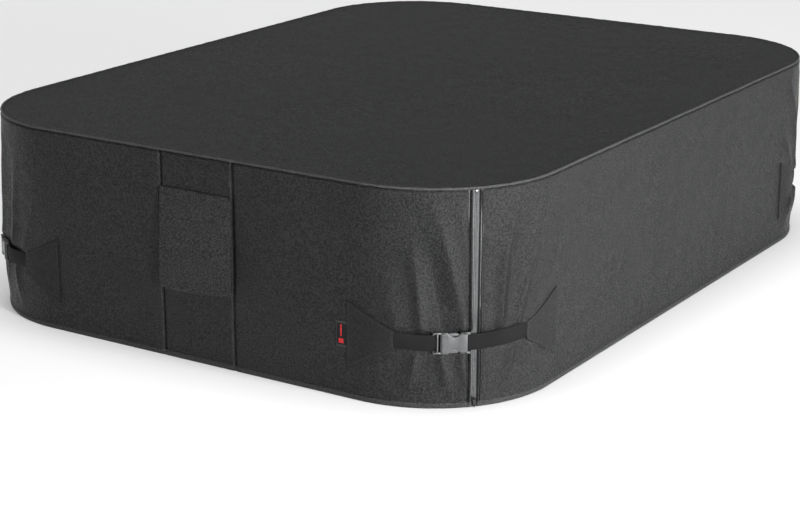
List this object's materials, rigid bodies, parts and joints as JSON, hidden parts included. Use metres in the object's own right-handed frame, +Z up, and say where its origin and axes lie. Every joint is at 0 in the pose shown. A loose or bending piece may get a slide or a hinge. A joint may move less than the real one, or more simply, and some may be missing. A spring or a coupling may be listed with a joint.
{
  "type": "spa cover",
  "caption": "Soft fabric cap with a flat top and a zipped skirt that fits over a rectangular portable spa, with hooded vents and buckled corner straps.",
  "frame": {"origin": "centre of the footprint, on the plane that the hem stands on", "axes": "+Z up, +Y along the length towards the back end, +X across the width towards the right-hand long side; the zip is at the corner of -Y and +X"},
  "size_m": [1.659, 2.1868, 0.547],
  "materials": {
    "cover_cloth": "matte",
    "edge_binding": "matte",
    "patch_cloth": "matte",
    "webbing": "matte",
    "vent_mesh": "matte",
    "zip_tape": "matte",
    "zip_coil": "satin",
    "zip_metal": "satin",
    "buckle_plastic": "satin",
    "label": "matte"
  },
  "bodies": {
    "cover": {"top_panel": "cover_cloth", "rim_piping": "edge_binding", "skirt_front_right": "cover_cloth", "skirt_right": "cover_cloth", "skirt_left": "cover_cloth", "hem_band": "edge_binding", "front_vent_panel": "cover_cloth", "front_vent_mesh": "vent_mesh", "back_vent_panel": "cover_cloth", "back_vent_mesh": "vent_mesh", "zip_tape_left": "zip_tape", "zip_tape_right": "zip_tape", "zip_coil_left": "zip_coil", "zip_coil_right": "zip_coil", "zip_top_stop": "zip_metal", "side_label": "label", "front_right_patch_end": "patch_cloth", "front_right_patch_side": "patch_cloth", "front_right_strap_adjusting": "webbing", "front_right_strap_fixed": "webbing", "front_right_buckle_socket": "buckle_plastic", "front_left_patch_end": "patch_cloth", "front_left_patch_side": "patch_cloth", "front_left_strap_adjusting": "webbing", "front_left_strap_fixed": "webbing", "front_left_buckle_socket": "buckle_plastic", "back_right_patch_end": "patch_cloth", "back_right_patch_side": "patch_cloth", "back_right_strap_adjusting": "webbing", "back_right_strap_fixed": "webbing", "back_right_buckle_socket": "buckle_plastic", "back_left_patch_end": "patch_cloth", "back_left_patch_side": "patch_cloth", "back_left_strap_adjusting": "webbing", "back_left_strap_fixed": "webbing", "back_left_buckle_socket": "buckle_plastic"},
    "front_flap": {"front_vent_flap": "patch_cloth"},
    "back_flap": {"back_vent_flap": "patch_cloth"},
    "zip_slider": {"zip_slider": "zip_metal"},
    "zip_pull": {"zip_pull": "zip_metal"},
    "front_right_insert": {"front_right_buckle_insert": "buckle_plastic", "front_right_strap_bight": "webbing"},
    "front_right_prong_upper": {"front_right_prong_upper": "buckle_plastic"},
    "front_right_prong_lower": {"front_right_prong_lower": "buckle_plastic"},
    "front_left_insert": {"front_left_buckle_insert": "buckle_plastic", "front_left_strap_bight": "webbing"},
    "front_left_prong_lower": {"front_left_prong_lower": "buckle_plastic"},
    "front_left_prong_upper": {"front_left_prong_upper": "buckle_plastic"},
    "back_right_insert": {"back_right_buckle_insert": "buckle_plastic", "back_right_strap_bight": "webbing"},
    "back_right_prong_lower": {"back_right_prong_lower": "buckle_plastic"},
    "back_right_prong_upper": {"back_right_prong_upper": "buckle_plastic"},
    "back_left_insert": {"back_left_buckle_insert": "buckle_plastic", "back_left_strap_bight": "webbing"},
    "back_left_prong_upper": {"back_left_prong_upper": "buckle_plastic"},
    "back_left_prong_lower": {"back_left_prong_lower": "buckle_plastic"}
  },
  "joints": [
    {"name": "front_flap_lift", "type": "hinge", "parent": "cover", "child": "front_flap", "pos_m": [0.006, -1.0814, 0.45], "axis": [-1, 0, 0], "range_deg": [0, 150]},
    {"name": "back_flap_lift", "type": "hinge", "parent": "cover", "child": "back_flap", "pos_m": [-0.006, 1.0814, 0.45], "axis": [1, 0, 0], "range_deg": [0, 150]},
    {"name": "zip_slide", "type": "slide", "parent": "cover", "child": "zip_slider", "axis": [0, 0, 1], "range_m": [0, 0.504]},
    {"name": "zip_pull_swing", "type": "hinge", "parent": "zip_slider", "child": "zip_pull", "pos_m": [0.74523, -0.96552, 0.023], "axis": [-0.6538, -0.7567, 0], "range_deg": [0, 170]},
    {"name": "front_right_release", "type": "slide", "parent": "cover", "child": "front_right_insert", "axis": [-0.7789, -0.6272, 0], "range_m": [0, 0.05], "deforming": ["front_right_prong_upper", "front_right_prong_lower"]},
    {"name": "front_right_prong_upper_press", "type": "hinge", "parent": "front_right_insert", "child": "front_right_prong_upper", "pos_m": [0.68883, -1.02476, 0.1875], "axis": [-0.6272, 0.7789, 0], "range_deg": [0, 7], "stiffness_Nm_per_rad": 1.5},
    {"name": "front_right_prong_lower_press", "type": "hinge", "parent": "front_right_insert", "child": "front_right_prong_lower", "pos_m": [0.68883, -1.02476, 0.1505], "axis": [0.6272, -0.7789, 0], "range_deg": [0, 7], "stiffness_Nm_per_rad": 1.5},
    {"name": "front_left_release", "type": "slide", "parent": "cover", "child": "front_left_insert", "axis": [0.7789, -0.6272, 0], "range_m": [0, 0.05], "deforming": ["front_left_prong_lower", "front_left_prong_upper"]},
    {"name": "front_left_prong_lower_press", "type": "hinge", "parent": "front_left_insert", "child": "front_left_prong_lower", "pos_m": [-0.68883, -1.02476, 0.1505], "axis": [0.6272, 0.7789, 0], "range_deg": [0, 7], "stiffness_Nm_per_rad": 1.5},
    {"name": "front_left_prong_upper_press", "type": "hinge", "parent": "front_left_insert", "child": "front_left_prong_upper", "pos_m": [-0.68883, -1.02476, 0.1875], "axis": [-0.6272, -0.7789, 0], "range_deg": [0, 7], "stiffness_Nm_per_rad": 1.5},
    {"name": "back_right_release", "type": "slide", "parent": "cover", "child": "back_right_insert", "axis": [-0.7789, 0.6272, 0], "range_m": [0, 0.05], "deforming": ["back_right_prong_lower", "back_right_prong_upper"]},
    {"name": "back_right_prong_lower_press", "type": "hinge", "parent": "back_right_insert", "child": "back_right_prong_lower", "pos_m": [0.68883, 1.02476, 0.1505], "axis": [-0.6272, -0.7789, 0], "range_deg": [0, 7], "stiffness_Nm_per_rad": 1.5},
    {"name": "back_right_prong_upper_press", "type": "hinge", "parent": "back_right_insert", "child": "back_right_prong_upper", "pos_m": [0.68883, 1.02476, 0.1875], "axis": [0.6272, 0.7789, 0], "range_deg": [0, 7], "stiffness_Nm_per_rad": 1.5},
    {"name": "back_left_release", "type": "slide", "parent": "cover", "child": "back_left_insert", "axis": [0.7789, 0.6272, 0], "range_m": [0, 0.05], "deforming": ["back_left_prong_upper", "back_left_prong_lower"]},
    {"name": "back_left_prong_upper_press", "type": "hinge", "parent": "back_left_insert", "child": "back_left_prong_upper", "pos_m": [-0.68883, 1.02476, 0.1875], "axis": [0.6272, -0.7789, 0], "range_deg": [0, 7], "stiffness_Nm_per_rad": 1.5},
    {"name": "back_left_prong_lower_press", "type": "hinge", "parent": "back_left_insert", "child": "back_left_prong_lower", "pos_m": [-0.68883, 1.02476, 0.1505], "axis": [-0.6272, 0.7789, 0], "range_deg": [0, 7], "stiffness_Nm_per_rad": 1.5}
  ]
}
